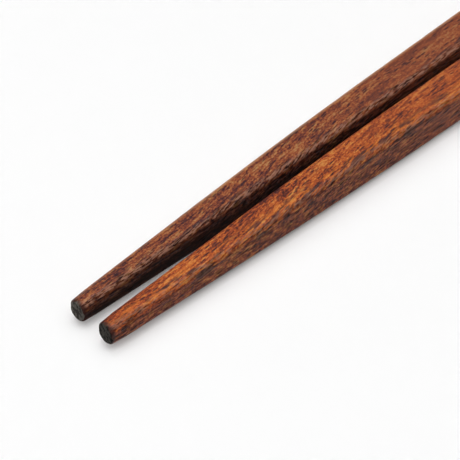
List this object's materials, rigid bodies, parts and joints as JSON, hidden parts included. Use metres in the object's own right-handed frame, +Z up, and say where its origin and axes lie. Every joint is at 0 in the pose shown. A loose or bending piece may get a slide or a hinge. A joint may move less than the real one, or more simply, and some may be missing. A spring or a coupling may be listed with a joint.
{
  "type": "pair of wooden chopsticks",
  "caption": "Slim tapered hardwood chopsticks lying side by side, slightly taller than wide with softly rounded long edges, near-round at the tips, with a satin finish.",
  "frame": {"origin": "under the middle of the pair, on the surface that both sticks lie on", "axes": "+X from the tips to the handle ends, +Y from the front stick to the rear one, +Z up"},
  "size_m": [0.23, 0.016, 0.0081],
  "materials": {
    "wood": "satin"
  },
  "bodies": {
    "root": {"rear_chopstick": "wood", "front_chopstick": "wood"}
  },
  "joints": []
}
